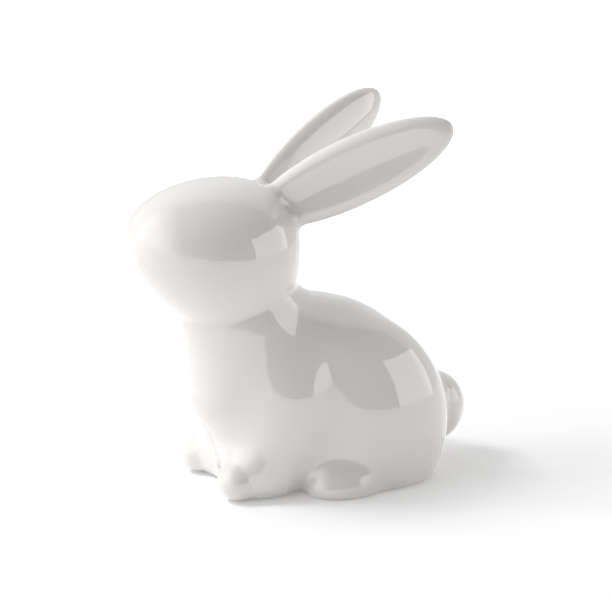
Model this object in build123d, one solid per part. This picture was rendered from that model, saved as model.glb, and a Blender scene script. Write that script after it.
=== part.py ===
from build123d import *
import os
from math import cos, pi, radians, sin, sqrt

# Glazed ceramic rabbit figurine, sitting, ears laid back.
# Millimetres, +Z up. The nose points to -Y and the rabbit's left side is +X.
# Each casting is a smooth form blended from ovals and bars, drawn as level or tilted outlines
# and lofted, then trimmed on the casting that carries it, as clay pieces are luted together.

# Head, an egg with its narrow end at the nose, and the nape behind it
head_half_width = 20.5
head_half_length = 24.8
head_half_height = 21.1
head_reach = 32.5
head_rise = 71.6
head_pitch = 19.8
head_narrowing_share = 0.08
head_thinning_share = 0.24
taper_limit_share = 1.3
nape_radius = 15.4
nape_place_shares = (0.387, -0.536, -0.052)
head_blend = 8.0

# Neck seam, where the head casting is luted to the torso
neck_rise = 55.3
neck_reach = 21.5
neck_slope = 12.3
neck_blend = 3.0

# Ears, flat ovals with a long hollow on the outer face
ear_length = 57.0
ear_width = 20.2
ear_thickness = 7.5
ear_sweep = 62.6
ear_splay = 20.8
ear_turn = 17.7
ear_root_shares = (0.195, 0.723, 0.488)
ear_middle_share = 0.45
ear_half_share = 0.55
ear_hollow_length_share = 0.82
ear_hollow_width_share = 0.52
ear_hollow_depth = 2.8
ear_rim_blend = 3.0

# Torso: chest, belly, rump, flanks and haunches
chest_radius = 17.8
chest_top_radius = 18.6
chest_reach = 21.8
chest_low_rise = 31.3
chest_top_rise = 49.7
belly_half_width = 14.0
belly_half_length = 16.0
belly_half_height = 14.0
seat_half_width = 24.5
seat_half_length = 25.1
seat_half_height = 13.2
seat_blend = 6.0
rump_half_width = 23.2
rump_half_length = 35.4
rump_half_height = 27.2
rump_narrowing_share = 0.15
rump_back = 6.8
rump_rise = 21.5
rump_pitch = 18.1
rump_blend = 10.0
haunch_half_width = 13.6
haunch_half_length = 21.7
haunch_half_height = 31.0
haunch_place_shares = (0.59, 0.189, 0.736)
haunch_blend = 6.4
flank_half_width = 17
flank_half_length = 25.6
flank_half_height = 13.6
flank_place_shares = (0.216, -0.312, 1.854)
flank_blend = 8.7

# Forelegs: shoulder, upper arm, wrist and paw
shoulder_half_width = 11.5
shoulder_half_length = 11.7
shoulder_half_height = 17.7
shoulder_place_shares = (0.669, 0.471, 0.533)
elbow_radius = 10.5
elbow_place_shares = (0.712, 0.538, 0.567)
wrist_radius = 10.3
wrist_place_shares = (0.636, 0.024, 0.166)
paw_radius = 5.6
paw_length = 8.8
paw_splay = 3.2
leg_blend = 6.0

# Hind feet, showing from under the haunches
foot_half_width = 8.5
foot_half_length = 12.0
foot_half_height = 9.5
foot_place_shares = (0.875, -0.153, 0.093)

# Tail, a round bud on the rump
tail_half_width = 8.6
tail_half_length = 10.2
tail_half_height = 10.8
tail_place_shares = (0.908, 0.721)

# Casting: wall, rounded lower edge and the vent hole in the base
wall = 3.0
base_edge_radius = 1.5
vent_diameter = 7.0
vent_place_share = 0.45

# Drawing of the outlines
outline_point_count = 20
leg_point_count = 16
round_station_count = 8
torso_station_shares = (0.07, 0.14, 0.22, 0.32, 0.42, 0.52, 0.61, 0.69, 0.76,
                         0.81, 0.84, 0.865, 0.89, 0.93, 0.97, 1)
leg_station_shares = (0, 0.08, 0.16, 0.24, 0.33, 0.43, 0.54, 0.65, 0.76, 0.86, 0.94, 0.985)
edge_station_shares = (0, 0.1, 0.35, 0.7)
search_step_share = 0.05
climb_share = 0.8
fine_share = 0.000001

across = (1, 0, 0)
along = (0, 1, 0)
upward = (0, 0, 1)
round_shares = tuple(sin(pi / 2 * k / round_station_count) for k in range(round_station_count))
figure_height = head_rise + head_half_height + ear_length
fine = figure_height * fine_share


def moved(point, direction, distance):
    return tuple(p + d * distance for p, d in zip(point, direction))


def pointed(amounts):
    size = sqrt(sum(a * a for a in amounts))
    return tuple(a / size for a in amounts)


def crossed(a, b):
    return (a[1] * b[2] - a[2] * b[1], a[2] * b[0] - a[0] * b[2], a[0] * b[1] - a[1] * b[0])


def dotted(a, b):
    return sum(p * q for p, q in zip(a, b))


# Distance forms: negative inside, zero on the surface

def blended(a, b, reach):
    overlap = max(reach - abs(a - b), 0) / reach
    return min(a, b) - overlap * overlap * reach / 4


def hollowed(a, b, reach):
    return -blended(-a, b, reach)


def oval(x, y, z, half_x, half_y, half_z):
    near = sqrt((x / half_x) ** 2 + (y / half_y) ** 2 + (z / half_z) ** 2)
    slope = sqrt((x / half_x ** 2) ** 2 + (y / half_y ** 2) ** 2 + (z / half_z ** 2) ** 2)
    return near * (near - 1) / slope if slope else -min(half_x, half_y, half_z)


def bar(point, start, end, start_radius, end_radius):
    line = tuple(e - s for s, e in zip(start, end))
    share = dotted(tuple(p - s for p, s in zip(point, start)), line) / dotted(line, line)
    share = min(max(share, 0), 1)
    nearest = moved(start, line, share)
    gap = sqrt(sum((p - n) ** 2 for p, n in zip(point, nearest)))
    return gap - start_radius - (end_radius - start_radius) * share


def pitched(y, z, angle):
    c = cos(radians(angle))
    s = sin(radians(angle))
    return y * c - z * s, y * s + z * c


def tapered(size, share, backward):
    return size * (1 + share * min(max(backward, -taper_limit_share), taper_limit_share))


# Head and nape

nape_reach = head_reach - nape_place_shares[0] * head_half_length
nape_low = (0, -nape_reach, head_rise + nape_place_shares[1] * head_half_height)
nape_top = (0, -nape_reach, head_rise + nape_place_shares[2] * head_half_height)


def head_form(point):
    x, y, z = point
    turned_y, turned_z = pitched(y + head_reach, z - head_rise, head_pitch)
    backward = turned_y / head_half_length
    wide = tapered(head_half_width, head_narrowing_share, backward)
    high = tapered(head_half_height, head_thinning_share, backward)
    egg = oval(x, turned_y, turned_z, wide, head_half_length, high)
    nape = bar(point, nape_low, nape_top, nape_radius, nape_radius)
    return blended(egg, nape, head_blend)


# Torso

haunch_out = haunch_place_shares[0] * rump_half_width
haunch_back = rump_back + haunch_place_shares[1] * rump_half_length
haunch_rise = haunch_place_shares[2] * rump_rise
flank_out = flank_place_shares[0] * rump_half_width
flank_back = rump_back + flank_place_shares[1] * rump_half_length
flank_rise = flank_place_shares[2] * rump_rise
belly_reach = chest_reach - belly_half_length / 2
belly_rise = belly_half_height / 2
seat_rise = seat_half_height / 2


def torso_form(point):
    x, y, z = point
    side = abs(x)
    chest = bar(point, (0, -chest_reach, chest_low_rise), (0, -chest_reach, chest_top_rise),
                chest_radius, chest_top_radius)
    turned_y, turned_z = pitched(y - rump_back, z - rump_rise, rump_pitch)
    wide = tapered(rump_half_width, rump_narrowing_share, turned_y / rump_half_length)
    rump = oval(x, turned_y, turned_z, wide, rump_half_length, rump_half_height)
    belly = oval(x, y + belly_reach, z - belly_rise,
                 belly_half_width, belly_half_length, belly_half_height)
    seat = oval(x, y - rump_back, z - seat_rise, seat_half_width, seat_half_length, seat_half_height)
    flank = oval(side - flank_out, y - flank_back, z - flank_rise,
                 flank_half_width, flank_half_length, flank_half_height)
    haunch = oval(side - haunch_out, y - haunch_back, z - haunch_rise,
                  haunch_half_width, haunch_half_length, haunch_half_height)
    body = blended(chest, rump, rump_blend)
    body = blended(body, belly, rump_blend)
    body = blended(body, seat, seat_blend)
    body = blended(body, flank, flank_blend)
    return blended(body, haunch, haunch_blend)


def hold_form(point):
    x, y, z = point
    turned_y, turned_z = pitched(y - rump_back, z - rump_rise, rump_pitch)
    wide = tapered(rump_half_width, rump_narrowing_share, turned_y / rump_half_length)
    return oval(x, turned_y, turned_z, wide - wall, rump_half_length - wall, rump_half_height - wall)


def body_form(point):
    return blended(torso_form(point), head_form(point), neck_blend)


# Forelegs, hind feet and tail, drawn on the left side

shoulder = (shoulder_place_shares[0] * chest_radius,
            shoulder_place_shares[1] * chest_radius - chest_reach,
            shoulder_place_shares[2] * chest_top_rise)
elbow = (elbow_place_shares[0] * chest_radius,
         elbow_place_shares[1] * chest_radius - chest_reach,
         elbow_place_shares[2] * chest_top_rise)
wrist = (wrist_place_shares[0] * chest_radius,
         wrist_place_shares[1] * chest_radius - chest_reach,
         wrist_place_shares[2] * chest_top_rise)
paw = (wrist[0] + paw_splay, wrist[1] - paw_length, paw_radius)


def leg_form(point):
    x, y, z = point
    upper = bar(point, elbow, wrist, elbow_radius, wrist_radius)
    lower = bar(point, wrist, paw, wrist_radius, paw_radius)
    top = oval(x - shoulder[0], y - shoulder[1], z - shoulder[2],
               shoulder_half_width, shoulder_half_length, shoulder_half_height)
    return blended(blended(upper, lower, leg_blend / 2), top, leg_blend)


foot = (foot_place_shares[0] * rump_half_width,
        rump_back + foot_place_shares[1] * rump_half_length,
        foot_place_shares[2] * rump_rise)


def foot_form(point):
    x, y, z = point
    return oval(x - foot[0], y - foot[1], z - foot[2],
                foot_half_width, foot_half_length, foot_half_height)


tail = (0, rump_back + tail_place_shares[0] * rump_half_length, tail_place_shares[1] * rump_rise)


def tail_form(point):
    x, y, z = point
    return oval(x, y - tail[1], z - tail[2], tail_half_width, tail_half_length, tail_half_height)


# Ears: long axis swept back and splayed, broad face turned outward

ear_root = (ear_root_shares[0] * head_half_width,
            ear_root_shares[1] * head_half_length - head_reach,
            ear_root_shares[2] * head_half_height + head_rise)
ear_axis = (sin(radians(ear_splay)),
            cos(radians(ear_splay)) * sin(radians(ear_sweep)),
            cos(radians(ear_splay)) * cos(radians(ear_sweep)))
ear_outward = (cos(radians(ear_turn)), -sin(radians(ear_turn)), 0)
ear_slant = dotted(ear_outward, ear_axis)
ear_outward = pointed(moved(ear_outward, ear_axis, -ear_slant))
ear_across = crossed(ear_outward, ear_axis)


def ear_form(point):
    offset = tuple(p - r for p, r in zip(point, ear_root))
    s = dotted(offset, ear_axis) - ear_length * ear_middle_share
    u = dotted(offset, ear_across)
    v = dotted(offset, ear_outward)
    blade = oval(u, s, v, ear_width / 2, ear_length * ear_half_share, ear_thickness / 2)
    hollow = oval(u, s, v - ear_thickness / 2,
                  ear_width / 2 * ear_hollow_width_share,
                  ear_length * ear_half_share * ear_hollow_length_share, ear_hollow_depth)
    return hollowed(blade, hollow, ear_rim_blend)


# Outlines and lofts

def crossing(form, start, direction, level=0):
    step = figure_height * search_step_share
    inner = 0
    outer = 0
    while form(moved(start, direction, outer)) < level:
        inner = outer
        outer += step
    while outer - inner > fine:
        middle = (inner + outer) / 2
        if form(moved(start, direction, middle)) < level:
            inner = middle
        else:
            outer = middle
    return (inner + outer) / 2


def reversed_way(direction):
    return tuple(-d for d in direction)


def centred(form, start, u, v, level):
    ahead = crossing(form, start, v, level)
    behind = crossing(form, start, reversed_way(v), level)
    start = moved(start, v, (ahead - behind) / 2)
    right = crossing(form, start, u, level)
    left = crossing(form, start, reversed_way(u), level)
    return moved(start, u, (right - left) / 2), (right + left) / 2, (ahead + behind) / 2


def outline(form, start, u, v, level=0, count=outline_point_count):
    centre, half_u, half_v = centred(form, start, u, v, level)
    points = []
    for k in range(count):
        angle = 2 * pi * k / count
        way = tuple(a * half_u * sin(angle) - b * half_v * cos(angle) for a, b in zip(u, v))
        way = pointed(way)
        points.append(moved(centre, way, crossing(form, centre, way, level)))
    return Wire([Spline(*points, periodic=True)]), centre


def summit(form, start, u, v, way, level):
    point = start
    for _ in range(round_station_count):
        point = moved(point, way, crossing(form, point, way, level) * climb_share)
        point = centred(form, point, u, v, level)[0]
    return moved(point, way, crossing(form, point, way, level))


def domed(form, start, u, v, way, level=0, shares=round_shares, count=outline_point_count):
    top = summit(form, start, u, v, way, level)
    height = dotted(tuple(t - s for t, s in zip(top, start)), way)
    wires = []
    centre = start
    reached = 0
    for share in shares:
        centre = moved(centre, way, height * (share - reached))
        wire, centre = outline(form, centre, u, v, level, count)
        wires.append(wire)
        reached = share
    return wires + [Vertex(*top)]


def rounded(form, start, u, v, way):
    back = domed(form, start, u, v, reversed_way(way))
    return Solid.make_loft(back[:0:-1] + domed(form, start, u, v, way))


def edge_inset(height):
    short = max(base_edge_radius - height, 0)
    return base_edge_radius - sqrt(base_edge_radius ** 2 - short ** 2)


def standing(form, start, shares, count):
    lower = []
    for share in edge_station_shares:
        height = share * base_edge_radius
        start = (start[0], start[1], height)
        wire, start = outline(form, start, across, along, -edge_inset(height), count)
        lower.append(wire)
    start = (start[0], start[1], base_edge_radius)
    return Solid.make_loft(lower + domed(form, start, across, along, upward, 0, shares, count))


def flat_cut(form, start):
    return Solid.make_loft(domed(form, (start[0], start[1], 0), across, along, upward))


# Torso casting, hollow, open at the neck, with a vent hole in its flat base

neck_along = (0, cos(radians(neck_slope)), sin(radians(neck_slope)))
neck_way = (0, -sin(radians(neck_slope)), cos(radians(neck_slope)))
neck_point = (0, -neck_reach, neck_rise)
throat_radius = chest_radius - 2 * wall


def torso_casting():
    wires = []
    for share in edge_station_shares:
        height = share * base_edge_radius
        start = (0, -neck_reach, height)
        wires.append(outline(body_form, start, across, along, -edge_inset(height))[0])
    for share in torso_station_shares:
        slope = radians(neck_slope * share)
        start = (0, -neck_reach, neck_rise * share)
        wires.append(outline(body_form, start, across, (0, cos(slope), sin(slope)))[0])
    body = Solid.make_loft(wires)
    throat = Cylinder(throat_radius, neck_rise - chest_low_rise + 2 * wall,
                      align=(Align.CENTER, Align.CENTER, Align.MIN))
    throat = Pos(0, -neck_reach, chest_low_rise) * (throat + Sphere(throat_radius))
    hold = rounded(hold_form, (0, rump_back, rump_rise), across, along, upward)
    floor = Pos(0, 0, wall) * Box(4 * rump_half_width, 4 * rump_half_length, 4 * rump_half_height,
                                  align=(Align.CENTER, Align.CENTER, Align.MIN))
    vent = Pos(0, vent_place_share * rump_half_length, 0) * Cylinder(vent_diameter / 2, 4 * wall)
    return body, body - ((throat + hold) & floor) - vent


def head_casting():
    outer = Solid.make_loft(domed(body_form, neck_point, across, neck_along, neck_way))
    inner = Solid.make_loft(domed(body_form, neck_point, across, neck_along, neck_way, -wall))
    return outer, outer - inner


def ear_casting():
    middle = moved(ear_root, ear_axis, ear_length * ear_middle_share)
    middle = moved(middle, ear_outward, -ear_thickness / 4)
    return rounded(ear_form, middle, ear_across, ear_outward, ear_axis)


def tail_casting():
    return rounded(tail_form, tail, across, reversed_way(upward), along)


def pair(casting, *carriers):
    pieces = []
    for piece in (casting, mirror(casting, about=Plane.YZ)):
        for carrier in carriers:
            piece = piece - carrier
        pieces.append(max(piece.solids(), key=lambda solid: solid.volume))
    return pieces


def main():
    os.makedirs("parts", exist_ok=True)
    torso_body, torso = torso_casting()
    head_body, head = head_casting()
    left_ear, right_ear = pair(ear_casting(), head_body)
    leg = standing(leg_form, wrist, leg_station_shares, leg_point_count)
    left_leg, right_leg = pair(leg, torso_body, head_body)
    left_foot, right_foot = pair(flat_cut(foot_form, foot), torso_body)
    tail_bud = max((tail_casting() - torso_body).solids(), key=lambda solid: solid.volume)
    nodes = {"torso": torso, "head": head, "tail": tail_bud,
             "left_ear": left_ear, "right_ear": right_ear,
             "left_foreleg": left_leg, "right_foreleg": right_leg,
             "left_hind_foot": left_foot, "right_hind_foot": right_foot}
    front = head.bounding_box().min.Y
    back = tail_bud.bounding_box().max.Y
    for name, piece in nodes.items():
        export_step(Pos(0, -(front + back) / 2, 0) * piece, "parts/" + name + ".step")


main()
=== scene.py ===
import math

import bpy
import numpy as np
import openvdb
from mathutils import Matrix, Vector


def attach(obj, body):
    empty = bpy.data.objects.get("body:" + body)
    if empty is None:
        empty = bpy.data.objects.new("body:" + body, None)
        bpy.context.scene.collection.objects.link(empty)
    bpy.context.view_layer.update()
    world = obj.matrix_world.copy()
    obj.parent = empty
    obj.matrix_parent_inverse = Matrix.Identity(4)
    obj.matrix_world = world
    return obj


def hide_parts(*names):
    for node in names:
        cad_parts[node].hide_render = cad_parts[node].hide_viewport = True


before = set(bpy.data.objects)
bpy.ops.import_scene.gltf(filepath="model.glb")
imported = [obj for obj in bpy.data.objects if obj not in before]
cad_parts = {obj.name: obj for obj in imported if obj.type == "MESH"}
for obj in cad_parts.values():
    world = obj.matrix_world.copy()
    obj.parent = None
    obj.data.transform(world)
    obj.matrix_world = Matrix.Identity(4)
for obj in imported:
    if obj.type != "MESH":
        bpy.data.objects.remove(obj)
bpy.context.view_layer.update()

# Glazed ceramic rabbit: one smooth glazed skin, drawn from the same named sizes as the solids,
# split along the seams into one closed piece for each casting. Sizes in millimetres, +Z up.

MM = 0.001

# Head and nape
head_half = (20.5, 24.8, 21.1)
head_reach = 32.5
head_rise = 71.6
head_pitch = 19.8
head_narrowing_share = 0.08
head_thinning_share = 0.24
nape_radius = 15.4
nape_reach = 22.9
nape_low_rise = 60.3
nape_top_rise = 70.5
head_blend = 8.0

# Neck seam
neck_rise = 55.3
neck_reach = 21.5
neck_slope = 12.3
neck_blend = 1.2

# Ears
ear_length = 57.0
ear_width = 20.2
ear_thickness = 7.5
ear_sweep = 62.6
ear_splay = 20.8
ear_turn = 17.7
ear_root_shares = (0.195, 0.723, 0.488)
ear_middle_share = 0.45
ear_half_share = 0.55
ear_hollow_length_share = 0.82
ear_hollow_width_share = 0.52
ear_hollow_depth = 2.8
ear_rim_blend = 3.0
ear_blend = 3.0

# Torso
chest_radius = 17.8
chest_top_radius = 18.6
chest_reach = 21.8
chest_low_rise = 31.3
chest_top_rise = 49.7
belly_half = (14.0, 16.0, 14.0)
seat_half = (24.5, 25.1, 13.2)
seat_blend = 6.0
rump_half = (23.2, 35.4, 27.2)
rump_narrowing_share = 0.15
rump_back = 6.8
rump_rise = 21.5
rump_pitch = 18.1
rump_blend = 10.0
haunch_half = (13.6, 21.7, 31.0)
haunch_place_shares = (0.59, 0.189, 0.736)
haunch_blend = 6.4
flank_half = (17, 25.6, 13.6)
flank_place_shares = (0.216, -0.312, 1.854)
flank_blend = 8.7
taper_limit_share = 1.3

# Forelegs
shoulder_half = (11.5, 11.7, 17.7)
shoulder_place_shares = (0.669, 0.471, 0.533)
elbow_radius = 10.5
elbow_place_shares = (0.712, 0.538, 0.567)
wrist_radius = 10.3
wrist_place_shares = (0.636, 0.024, 0.166)
paw_radius = 5.6
paw_length = 8.8
paw_splay = 3.2
leg_blend = 6.0

# Hind feet and tail
foot_half = (8.5, 12.0, 9.5)
foot_place_shares = (0.875, -0.153, 0.093)
foot_blend = 2.0
tail_half = (8.6, 10.2, 10.8)
tail_place_shares = (0, 0.908, 0.721)
tail_blend = 2.0

# Casting
wall = 3.0
base_edge_radius = 1.5
vent_diameter = 7.0
vent_place_share = 0.45
vent_rim = 0.6

# Mesh
voxel = 0.7
field_top_share = 0.76
margin = 3.0
probe = 0.02
fine = 1e-9
surface_rounds = 3
seam_rounds = 6
snap_share = 0.3
ring_shares = (0.9, 0.75, 0.58, 0.4, 0.22)
level_share = 0.99


def pitched(y, z, angle):
    c = math.cos(math.radians(angle))
    s = math.sin(math.radians(angle))
    return y * c - z * s, y * s + z * c


def tapered(size, share, along):
    """A size that grows by a share of itself for each half length along."""
    return size * (1 + share * np.clip(along, -taper_limit_share, taper_limit_share))


def blended(a, b, reach):
    overlap = np.maximum(reach - np.abs(a - b), 0) / reach
    return np.minimum(a, b) - overlap * overlap * reach / 4


def hollowed(a, b, reach):
    return -blended(-a, b, reach)


def meeting(a, b, radius):
    """What two forms have in common, with a rounded edge."""
    inner = np.minimum(-radius, np.maximum(a, b))
    return inner + np.hypot(np.maximum(a + radius, 0), np.maximum(b + radius, 0))


def oval(x, y, z, half):
    near = np.sqrt((x / half[0]) ** 2 + (y / half[1]) ** 2 + (z / half[2]) ** 2)
    slope = np.sqrt((x / half[0] ** 2) ** 2 + (y / half[1] ** 2) ** 2 + (z / half[2] ** 2) ** 2)
    return near * (near - 1) / np.maximum(slope, fine)


def bar(p, start, end, start_radius, end_radius):
    start = np.array(start, float)
    line = np.array(end, float) - start
    share = np.clip((p - start) @ line / (line @ line), 0, 1)
    gap = np.linalg.norm(p - start - share[:, None] * line, axis=1)
    return gap - start_radius - (end_radius - start_radius) * share


def mirrored(p):
    return np.column_stack([np.abs(p[:, 0]), p[:, 1], p[:, 2]])


def on_chest(shares):
    return np.array((shares[0] * chest_radius,
                     shares[1] * chest_radius - chest_reach,
                     shares[2] * chest_top_rise))


def on_rump(shares):
    return np.array((shares[0] * rump_half[0],
                     rump_back + shares[1] * rump_half[1],
                     shares[2] * rump_rise))


shoulder = on_chest(shoulder_place_shares)
elbow = on_chest(elbow_place_shares)
wrist = on_chest(wrist_place_shares)
paw = np.array((wrist[0] + paw_splay, wrist[1] - paw_length, paw_radius))
haunch = on_rump(haunch_place_shares)
flank = on_rump(flank_place_shares)
foot = on_rump(foot_place_shares)
tail = on_rump(tail_place_shares)

ear_root = np.array((ear_root_shares[0] * head_half[0],
                     ear_root_shares[1] * head_half[1] - head_reach,
                     ear_root_shares[2] * head_half[2] + head_rise))
splay = math.radians(ear_splay)
sweep = math.radians(ear_sweep)
turn = math.radians(ear_turn)
ear_axis = np.array((math.sin(splay), math.cos(splay) * math.sin(sweep), math.cos(splay) * math.cos(sweep)))
ear_outward = np.array((math.cos(turn), -math.sin(turn), 0))
ear_outward = ear_outward - ear_axis * (ear_outward @ ear_axis)
ear_outward = ear_outward / np.linalg.norm(ear_outward)
ear_across = np.cross(ear_outward, ear_axis)

neck_point = np.array((0, -neck_reach, neck_rise))
neck_way = np.array((0, -math.sin(math.radians(neck_slope)), math.cos(math.radians(neck_slope))))


# Forms, each negative inside and zero on its surface

def head_form(p):
    x, y, z = p.T
    turned_y, turned_z = pitched(y + head_reach, z - head_rise, head_pitch)
    wide = tapered(head_half[0], head_narrowing_share, turned_y / head_half[1])
    high = tapered(head_half[2], head_thinning_share, turned_y / head_half[1])
    egg = oval(x, turned_y, turned_z, (wide, head_half[1], high))
    nape = bar(p, (0, -nape_reach, nape_low_rise), (0, -nape_reach, nape_top_rise), nape_radius, nape_radius)
    return blended(egg, nape, head_blend)


def rump_form(p, inset=0):
    x, y, z = p.T
    turned_y, turned_z = pitched(y - rump_back, z - rump_rise, rump_pitch)
    wide = tapered(rump_half[0], rump_narrowing_share, turned_y / rump_half[1]) - inset
    return oval(x, turned_y, turned_z, (wide, rump_half[1] - inset, rump_half[2] - inset))


def torso_form(p):
    x, y, z = p.T
    side = np.abs(x)
    over_spine = np.hypot(x, flank_blend / 2)
    chest = bar(p, (0, -chest_reach, chest_low_rise), (0, -chest_reach, chest_top_rise),
                chest_radius, chest_top_radius)
    body = blended(chest, rump_form(p), rump_blend)
    belly = oval(x, y + chest_reach - belly_half[1] / 2, z - belly_half[2] / 2, belly_half)
    body = blended(body, belly, rump_blend)
    body = blended(body, oval(x, y - rump_back, z - seat_half[2] / 2, seat_half), seat_blend)
    body = blended(body, oval(over_spine - flank[0], y - flank[1], z - flank[2], flank_half), flank_blend)
    return blended(body, oval(side - haunch[0], y - haunch[1], z - haunch[2], haunch_half), haunch_blend)


def leg_form(p):
    p = mirrored(p)
    x, y, z = p.T
    upper = bar(p, elbow, wrist, elbow_radius, wrist_radius)
    lower = bar(p, wrist, paw, wrist_radius, paw_radius)
    top = oval(x - shoulder[0], y - shoulder[1], z - shoulder[2], shoulder_half)
    return blended(blended(upper, lower, leg_blend / 2), top, leg_blend)


def foot_form(p):
    x, y, z = mirrored(p).T
    return oval(x - foot[0], y - foot[1], z - foot[2], foot_half)


def tail_form(p):
    x, y, z = p.T
    return oval(x, y - tail[1], z - tail[2], tail_half)


def ear_form(p):
    offset = mirrored(p) - ear_root
    s = offset @ ear_axis - ear_length * ear_middle_share
    u = offset @ ear_across
    v = offset @ ear_outward
    half_length = ear_length * ear_half_share
    blade = oval(u, s, v, (ear_width / 2, half_length, ear_thickness / 2))
    hollow_half = (ear_width / 2 * ear_hollow_width_share, half_length * ear_hollow_length_share,
                   ear_hollow_depth)
    return hollowed(blade, oval(u, s, v - ear_thickness / 2, hollow_half), ear_rim_blend)


def neck_form(p):
    return (p - neck_point) @ neck_way


def lower_form(p):
    return np.minimum(torso_form(p), leg_form(p))


def glaze_form(p):
    body = blended(torso_form(p), head_form(p), neck_blend)
    body = blended(body, leg_form(p), leg_blend)
    body = blended(body, foot_form(p), foot_blend)
    body = blended(body, tail_form(p), tail_blend)
    return blended(body, ear_form(p), ear_blend)


def cavity_form(p):
    throat_radius = chest_radius - 2 * wall
    throat = bar(p, (0, -neck_reach, chest_low_rise), (0, -neck_reach, neck_rise),
                 throat_radius, throat_radius)
    hollow = blended(throat, rump_form(p, wall), 2 * wall)
    hollow = meeting(hollow, wall - p[:, 2], wall / 2)
    return meeting(hollow, neck_form(p) + wall, wall / 2)


def vent_form(p):
    x, y, z = p.T
    return np.maximum(np.hypot(x, y - vent_place_share * rump_half[1]) - vent_diameter / 2, z - 2 * wall)


def skin_form(p):
    solid = meeting(glaze_form(p), -p[:, 2], base_edge_radius)
    hollow = blended(cavity_form(p), vent_form(p), vent_rim)
    return meeting(solid, -hollow, vent_rim)


# Skin mesh

def gradient(form, p):
    slope = np.zeros_like(p)
    for k in range(3):
        step = np.zeros(3)
        step[k] = probe
        slope[:, k] = (form(p + step) - form(p - step)) / (2 * probe)
    return slope


def settled(form, p, rounds=surface_rounds):
    """Moves points onto a form's surface."""
    for _ in range(rounds):
        slope = gradient(form, p)
        p = p - slope * (form(p) / np.maximum((slope ** 2).sum(1), fine))[:, None]
    return p


def settled_on_both(form, seam, p):
    for _ in range(seam_rounds):
        p = settled(seam, p, 1)
        p = settled(form, p, 1)
    return p


def sampled(form, low, high):
    counts = np.ceil((high - low) / voxel).astype(int) + 1
    axes = [low[k] + voxel * np.arange(counts[k]) for k in range(3)]
    values = np.empty(counts, np.float32)
    for k, x in enumerate(axes[0]):
        y, z = np.meshgrid(axes[1], axes[2], indexing="ij")
        p = np.column_stack([np.full(y.size, x), y.ravel(), z.ravel()])
        values[k] = form(p).reshape(y.shape)
    grid = openvdb.FloatGrid(float(values.max()))
    grid.copyFromArray(values)
    points, quads = grid.convertToQuads(isovalue=0.0)
    return low + voxel * np.array(points, float), np.array(quads, int)


def facing(p, t):
    return np.cross(p[t[:, 1]] - p[t[:, 0]], p[t[:, 2]] - p[t[:, 0]])


def edges_of(faces):
    return np.concatenate([faces[:, [0, 1]], faces[:, [1, 2]], faces[:, [2, 0]]])


# The field is a third of the ears' full height wide to each side. The ears lean back, so it can be lower.
full_height = head_rise + head_half[2] + ear_length
field_side = full_height / 3
field_top = full_height * field_top_share
field_low = np.array((-field_side, -head_reach - head_half[1], 0)) - margin
field_high = np.array((field_side, tail[1] + tail_half[1], field_top)) + margin
points, quads = sampled(skin_form, field_low, field_high)
points = settled(skin_form, points)
one_way = np.linalg.norm(points[quads[:, 0]] - points[quads[:, 2]], axis=1)
other_way = np.linalg.norm(points[quads[:, 1]] - points[quads[:, 3]], axis=1)
short = (one_way <= other_way)[:, None]
triangles = np.concatenate([np.where(short, quads[:, [0, 1, 2]], quads[:, [0, 1, 3]]),
                            np.where(short, quads[:, [0, 2, 3]], quads[:, [1, 2, 3]])])
middle = points[triangles].mean(1)
if (facing(points, triangles) * gradient(skin_form, middle)).sum() < 0:
    triangles = triangles[:, ::-1]

# Seams

NAMES = ("torso", "head", "left_ear", "right_ear", "left_foreleg", "right_foreleg",
         "left_hind_foot", "right_hind_foot", "tail")
TORSO, HEAD, EAR, LEG, FOOT, TAIL = 0, 1, 2, 4, 6, 8
labels = np.zeros(len(triangles), int)


def cut(seam, owners, label, outer=True):
    """Splits the skin where a seam is zero and labels the owners' faces inside it."""
    global points, triangles, labels
    value = seam(points)
    if outer:
        value = np.where(glaze_form(points) < -wall / 2, np.abs(value) + 1, value)
    edges = np.unique(np.sort(edges_of(triangles), axis=1), axis=0)
    crossing = edges[(value[edges[:, 0]] < 0) != (value[edges[:, 1]] < 0)]
    a, b = value[crossing[:, 0]], value[crossing[:, 1]]
    share = a / (a - b)
    close = np.unique(np.concatenate([crossing[share < snap_share, 0], crossing[share > 1 - snap_share, 1]]))
    points[close] = settled_on_both(skin_form, seam, points[close])
    value[close] = 0
    crossing = edges[value[edges[:, 0]] * value[edges[:, 1]] < 0]
    a, b = value[crossing[:, 0]], value[crossing[:, 1]]
    start, end = points[crossing[:, 0]], points[crossing[:, 1]]
    fresh = settled_on_both(skin_form, seam, start + (end - start) * (a / (a - b))[:, None])
    number = {tuple(edge): len(points) + k for k, edge in enumerate(crossing)}
    points = np.concatenate([points, fresh])
    value = np.concatenate([value, np.zeros(len(fresh))])
    signs = np.sign(value[triangles])
    mixed = (signs.min(1) < 0) & (signs.max(1) > 0)
    made = []
    made_labels = []
    for t, owner in zip(triangles[mixed], labels[mixed]):
        ring = []
        for k in range(3):
            i, j = int(t[k]), int(t[(k + 1) % 3])
            ring.append(i)
            between = number.get((min(i, j), max(i, j)))
            if between is not None:
                ring.append(between)
        for way in (-1, 1):
            side = [n for n in ring if value[n] * way >= 0]
            for k in range(1, len(side) - 1):
                made.append((side[0], side[k], side[k + 1]))
                made_labels.append(owner)
    triangles = np.concatenate([triangles[~mixed], np.array(made, int).reshape(-1, 3)])
    labels = np.concatenate([labels[~mixed], np.array(made_labels, int)])
    if label is None:
        return
    inside = (value[triangles].min(1) < 0) & np.isin(labels, owners)
    right = (points[triangles].mean(1)[:, 0] < 0) & (label in (EAR, LEG, FOOT))
    labels[inside] = label + right[inside]


def seated(limb, carrier):
    def seam(p):
        held = carrier(p)
        return np.maximum(limb(p) - held, -held)
    return seam


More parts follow.
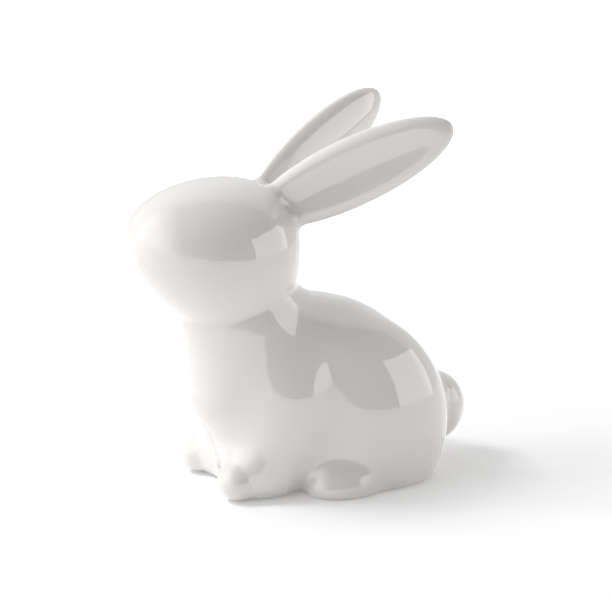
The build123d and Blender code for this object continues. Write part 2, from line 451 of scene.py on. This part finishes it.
cut(lambda p: p[:, 0], (), None, outer=False)
cut(lambda p: -neck_form(p), (TORSO,), HEAD)
cut(seated(ear_form, head_form), (HEAD,), EAR)
cut(seated(leg_form, torso_form), (TORSO,), LEG)
cut(seated(foot_form, lower_form), (TORSO, LEG, LEG + 1), FOOT)
cut(seated(tail_form, torso_form), (TORSO,), TAIL)


def strays_of(part):
    """The faces of a piece that don't hang together with most of it."""
    chosen = np.flatnonzero(labels == part)
    parent = np.arange(len(points))

    def root(i):
        while parent[i] != i:
            parent[i] = parent[parent[i]]
            i = parent[i]
        return i
    for t in triangles[chosen]:
        a, b, c = root(t[0]), root(t[1]), root(t[2])
        parent[b] = a
        parent[root(c)] = a
    roots = np.array([root(t[0]) for t in triangles[chosen]])
    groups, counts = np.unique(roots, return_counts=True)
    return chosen[roots != groups[counts.argmax()]]


for part in range(1, len(NAMES)):
    labels[strays_of(part)] = HEAD if part in (EAR, EAR + 1) else TORSO


def loops_of(faces):
    """The open edges of some faces as closed rings of points."""
    known = set(map(tuple, edges_of(faces).tolist()))
    after = {a: b for a, b in known if (b, a) not in known}
    rings = []
    while after:
        start, now = after.popitem()
        ring = [start]
        while now != start:
            ring.append(now)
            now = after.pop(now)
        rings.append(ring)
    return rings


def capped(ring, carrier):
    """Closes a ring with a sheet on the carrier, facing out of the ring's own piece."""
    global points
    rim = points[ring]
    centre = rim.mean(0)
    sheets = [settled(carrier, centre + (rim - centre) * share) for share in ring_shares]
    new = np.concatenate(sheets + [settled(carrier, centre[None, :])])
    new[:, 2] = np.maximum(new[:, 2], 0)
    base = len(points)
    points = np.concatenate([points, new])
    count = len(ring)
    hub = base + len(sheets) * count
    rows = [list(ring)] + [list(range(start, start + count)) for start in range(base, hub, count)]
    faces = []
    for outer, inner in zip(rows, rows[1:]):
        for k in range(count):
            n = (k + 1) % count
            faces.append((outer[n], outer[k], inner[k]))
            faces.append((outer[n], inner[k], inner[n]))
    for k in range(count):
        faces.append((rows[-1][(k + 1) % count], rows[-1][k], hub))
    return np.array(faces, int)


skin_count = len(points)
carriers = {HEAD: neck_form, EAR: head_form, EAR + 1: head_form, LEG: torso_form, LEG + 1: torso_form,
            FOOT: lower_form, FOOT + 1: lower_form, TAIL: torso_form}
caps = {}
for part, carrier in carriers.items():
    own = np.isin(labels, (HEAD, EAR, EAR + 1) if part == HEAD else (part,))
    caps[part] = np.concatenate([capped(ring, carrier) for ring in loops_of(triangles[own])])

shift = -(points[:skin_count, 1].min() + points[:skin_count, 1].max()) / 2
normals = gradient(skin_form, points)
normals /= np.maximum(np.linalg.norm(normals, axis=1), fine)[:, None]


def sheets_of(part):
    """A piece's glazed skin, then the sheets that close it at its seams."""
    sheets = [triangles[labels == part]]
    if part == TORSO:
        sheets += [caps[p][:, ::-1] for p in carriers if p not in (EAR, EAR + 1)]
    else:
        sheets.append(caps[part])
    if part == HEAD:
        sheets += [caps[EAR][:, ::-1], caps[EAR + 1][:, ::-1]]
    return sheets


# Glaze and the bare clay under it

def material(name):
    made = bpy.data.materials.new(name)
    made.use_nodes = True
    return made, made.node_tree, made.node_tree.nodes["Principled BSDF"]


def noise(tree, scale, detail):
    place = tree.nodes.new("ShaderNodeTexCoord")
    cloud = tree.nodes.new("ShaderNodeTexNoise")
    cloud.inputs["Scale"].default_value = scale
    cloud.inputs["Detail"].default_value = detail
    tree.links.new(place.outputs["Object"], cloud.inputs["Vector"])
    return cloud.outputs["Fac"]


def ramp(tree, value, start, start_colour, end, end_colour):
    colours = tree.nodes.new("ShaderNodeValToRGB")
    colours.color_ramp.elements[0].position = start
    colours.color_ramp.elements[0].color = start_colour
    colours.color_ramp.elements[1].position = end
    colours.color_ramp.elements[1].color = end_colour
    tree.links.new(value, colours.inputs["Fac"])
    return colours.outputs["Color"]


def bump(tree, height, strength, distance):
    relief = tree.nodes.new("ShaderNodeBump")
    relief.inputs["Strength"].default_value = strength
    relief.inputs["Distance"].default_value = distance
    tree.links.new(height, relief.inputs["Height"])
    return relief.outputs["Normal"]


thick_glaze = (0.880, 0.856, 0.832, 1)
thin_glaze = (0.900, 0.880, 0.860, 1)
dark_clay = (0.62, 0.58, 0.52, 1)
pale_clay = (0.80, 0.77, 0.71, 1)

glaze, tree, shader = material("white_glaze")
pooling = noise(tree, scale=55.0, detail=2.0)
flow = noise(tree, scale=90.0, detail=1.0)
tint = ramp(tree, pooling, start=0.3, start_colour=thick_glaze, end=0.7, end_colour=thin_glaze)
wave = bump(tree, flow, strength=0.05, distance=0.0006)
tree.links.new(tint, shader.inputs["Base Color"])
tree.links.new(wave, shader.inputs["Normal"])
tree.links.new(wave, shader.inputs["Coat Normal"])
shader.inputs["Roughness"].default_value = 0.06
shader.inputs["IOR"].default_value = 1.6
shader.inputs["Coat Weight"].default_value = 1.0
shader.inputs["Coat Roughness"].default_value = 0.02
shader.inputs["Coat IOR"].default_value = 1.6

clay, tree, shader = material("bare_clay")
grain = noise(tree, scale=900.0, detail=4.0)
tint = ramp(tree, grain, start=0, start_colour=dark_clay, end=1, end_colour=pale_clay)
tree.links.new(tint, shader.inputs["Base Color"])
tree.links.new(bump(tree, grain, strength=0.3, distance=0.0002), shader.inputs["Normal"])
shader.inputs["Roughness"].default_value = 0.75


def placed(name, data):
    made = bpy.data.objects.new(name, data)
    bpy.context.scene.collection.objects.link(made)
    return made


def build(part):
    sheets = sheets_of(part)
    faces = np.concatenate(sheets)
    patch = len(sheets[0])
    used, compact = np.unique(faces, return_inverse=True)
    compact = compact.reshape(faces.shape)
    mesh = bpy.data.meshes.new(NAMES[part])
    place = (points[used] + (0, shift, 0)) * MM
    mesh.from_pydata(place.tolist(), [], compact.tolist())
    mesh.update()
    mesh.shade_smooth()
    flat = facing(points, faces)
    flat = flat / np.maximum(np.linalg.norm(flat, axis=1), fine)[:, None]
    corner = np.repeat(flat[:, None, :], 3, axis=1)
    corner[:patch] = normals[faces[:patch]]
    mesh.normals_split_custom_set(corner.reshape(-1, 3).tolist())
    mesh.materials.append(glaze)
    mesh.materials.append(clay)
    height = points[faces][:, :, 2].max(1)
    deep = glaze_form(points[faces].mean(1)) < -wall / 2
    bare = ((height < probe) & (flat[:, 2] < -level_share)) | deep
    mesh.polygons.foreach_set("material_index", bare.astype(np.int32))
    piece = placed("glazed_" + NAMES[part], mesh)
    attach(piece, "root")
    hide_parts(NAMES[part])


for part in range(len(NAMES)):
    build(part)

# Camera: angles in degrees, its distance in metres, its aim in the rabbit's millimetres

view_turn = 66.0
view_rise = 15.7
view_distance = 0.9
aim_reach = 2.0
aim_rise = 51.0
aim = Vector((0, (shift - aim_reach) * MM, aim_rise * MM))


def direction(turn, rise):
    """The way from the rabbit to a place, by its turn from the front toward the rabbit's left and its rise."""
    turned = math.radians(turn)
    raised = math.radians(rise)
    level = math.cos(raised)
    return Vector((math.sin(turned) * level, -math.cos(turned) * level, math.sin(raised)))


to_camera = direction(view_turn, view_rise)
camera = bpy.data.cameras.new("camera")
camera.sensor_width = 36.0
camera.lens = 182.0
camera.clip_start = 0.01
eye = placed("camera", camera)
eye.location = aim + to_camera * view_distance
eye.rotation_euler = (-to_camera).to_track_quat("-Z", "Y").to_euler()
bpy.context.scene.camera = eye

# Paper floor, in metres, which glows more with distance until it is as white as the background

floor_reach = 0.6
floor_gap = 0.00002
white_from = 0.13
white_to = 0.34
near_glow = 0.2
far_glow = 0.8
glossy_glow = 0.25

paper, tree, shader = material("paper")
nodes = tree.nodes
shader.inputs["Base Color"].default_value = (0.92, 0.92, 0.92, 1)
shader.inputs["Roughness"].default_value = 0.8
shader.inputs["Specular IOR Level"].default_value = 0.0
shader.inputs["Emission Color"].default_value = (1, 1, 1, 1)
path = nodes.new("ShaderNodeLightPath")
place = nodes.new("ShaderNodeTexCoord")
distance = nodes.new("ShaderNodeVectorMath")
distance.operation = "LENGTH"
fade = nodes.new("ShaderNodeMapRange")
fade.inputs["From Min"].default_value = white_from
fade.inputs["From Max"].default_value = white_to
fade.inputs["To Min"].default_value = near_glow
fade.inputs["To Max"].default_value = far_glow
seen = nodes.new("ShaderNodeMath")
seen.operation = "MULTIPLY"
mirror_glow = nodes.new("ShaderNodeMath")
mirror_glow.operation = "MULTIPLY_ADD"
mirror_glow.inputs[1].default_value = glossy_glow
tree.links.new(place.outputs["Object"], distance.inputs[0])
tree.links.new(distance.outputs["Value"], fade.inputs["Value"])
tree.links.new(path.outputs["Is Camera Ray"], seen.inputs[0])
tree.links.new(fade.outputs["Result"], seen.inputs[1])
tree.links.new(path.outputs["Is Glossy Ray"], mirror_glow.inputs[0])
tree.links.new(seen.outputs["Value"], mirror_glow.inputs[2])
tree.links.new(mirror_glow.outputs["Value"], shader.inputs["Emission Strength"])

floor_mesh = bpy.data.meshes.new("floor")
corners = [(-floor_reach, -floor_reach, 0), (floor_reach, -floor_reach, 0),
           (floor_reach, floor_reach, 0), (-floor_reach, floor_reach, 0)]
floor_mesh.from_pydata(corners, [], [(0, 1, 2, 3)])
floor_mesh.materials.append(paper)
floor = placed("floor", floor_mesh)
floor.location = (0, 0, -floor_gap)


# Lights, in metres, degrees and watts

def softbox(name, turn_right, rise, distance, width, height, power):
    """A rectangular light that looks at the rabbit, placed by its turn right of the camera."""
    way = direction(view_turn + turn_right, rise)
    light = bpy.data.lights.new(name, "AREA")
    light.shape = "RECTANGLE"
    light.size = width
    light.size_y = height
    light.energy = power
    lamp = placed(name, light)
    lamp.location = aim + way * distance
    lamp.rotation_euler = way.to_track_quat("Z", "Y").to_euler()
    return lamp


softbox("softbox_right", turn_right=83, rise=9.5, distance=1.0, width=1.02, height=0.52, power=2.1)
key = softbox("key", turn_right=-95, rise=52, distance=1.0, width=0.3, height=0.3, power=3.9)
key.visible_glossy = False

# The room that the glaze reflects, and the white behind the rabbit

dark_room = (0.21, 0.205, 0.198, 1)
left_room = (1.58, 1.58, 1.60, 1)
behind = (0.76, 0.76, 0.76, 1)
black = (0, 0, 0, 1)
white = (1, 1, 1, 1)
level_back = Vector((-to_camera.x, -to_camera.y, 0)).normalized()
level_left = Vector((to_camera.y, -to_camera.x, 0)).normalized()

world = bpy.data.worlds.new("world")
world.use_nodes = True
bpy.context.scene.world = world
tree = world.node_tree
nodes = tree.nodes
sight = nodes.new("ShaderNodeTexCoord")


def by_direction(way, start, start_colour, end, end_colour):
    """A colour that changes with how far a ray points along a level direction."""
    along = nodes.new("ShaderNodeVectorMath")
    along.operation = "DOT_PRODUCT"
    along.inputs[1].default_value = way
    tree.links.new(sight.outputs["Generated"], along.inputs[0])
    return ramp(tree, along.outputs["Value"], start, start_colour, end, end_colour)


room_mix = nodes.new("ShaderNodeMixRGB")
room_mix.inputs["Color2"].default_value = behind
at_back = by_direction(level_back, start=0.08, start_colour=black, end=0.3, end_colour=white)
at_front = by_direction(level_left, start=0.28, start_colour=dark_room, end=0.72, end_colour=left_room)
tree.links.new(at_back, room_mix.inputs["Fac"])
tree.links.new(at_front, room_mix.inputs["Color1"])
room = nodes.new("ShaderNodeBackground")
tree.links.new(room_mix.outputs["Color"], room.inputs["Color"])
backdrop = nodes.new("ShaderNodeBackground")
backdrop.inputs["Color"].default_value = white
path = nodes.new("ShaderNodeLightPath")
mix = nodes.new("ShaderNodeMixShader")
tree.links.new(path.outputs["Is Camera Ray"], mix.inputs["Fac"])
tree.links.new(room.outputs["Background"], mix.inputs[1])
tree.links.new(backdrop.outputs["Background"], mix.inputs[2])
tree.links.new(mix.outputs["Shader"], nodes["World Output"].inputs["Surface"])

bpy.context.scene.view_settings.view_transform = "Standard"
bpy.context.view_layer.update()
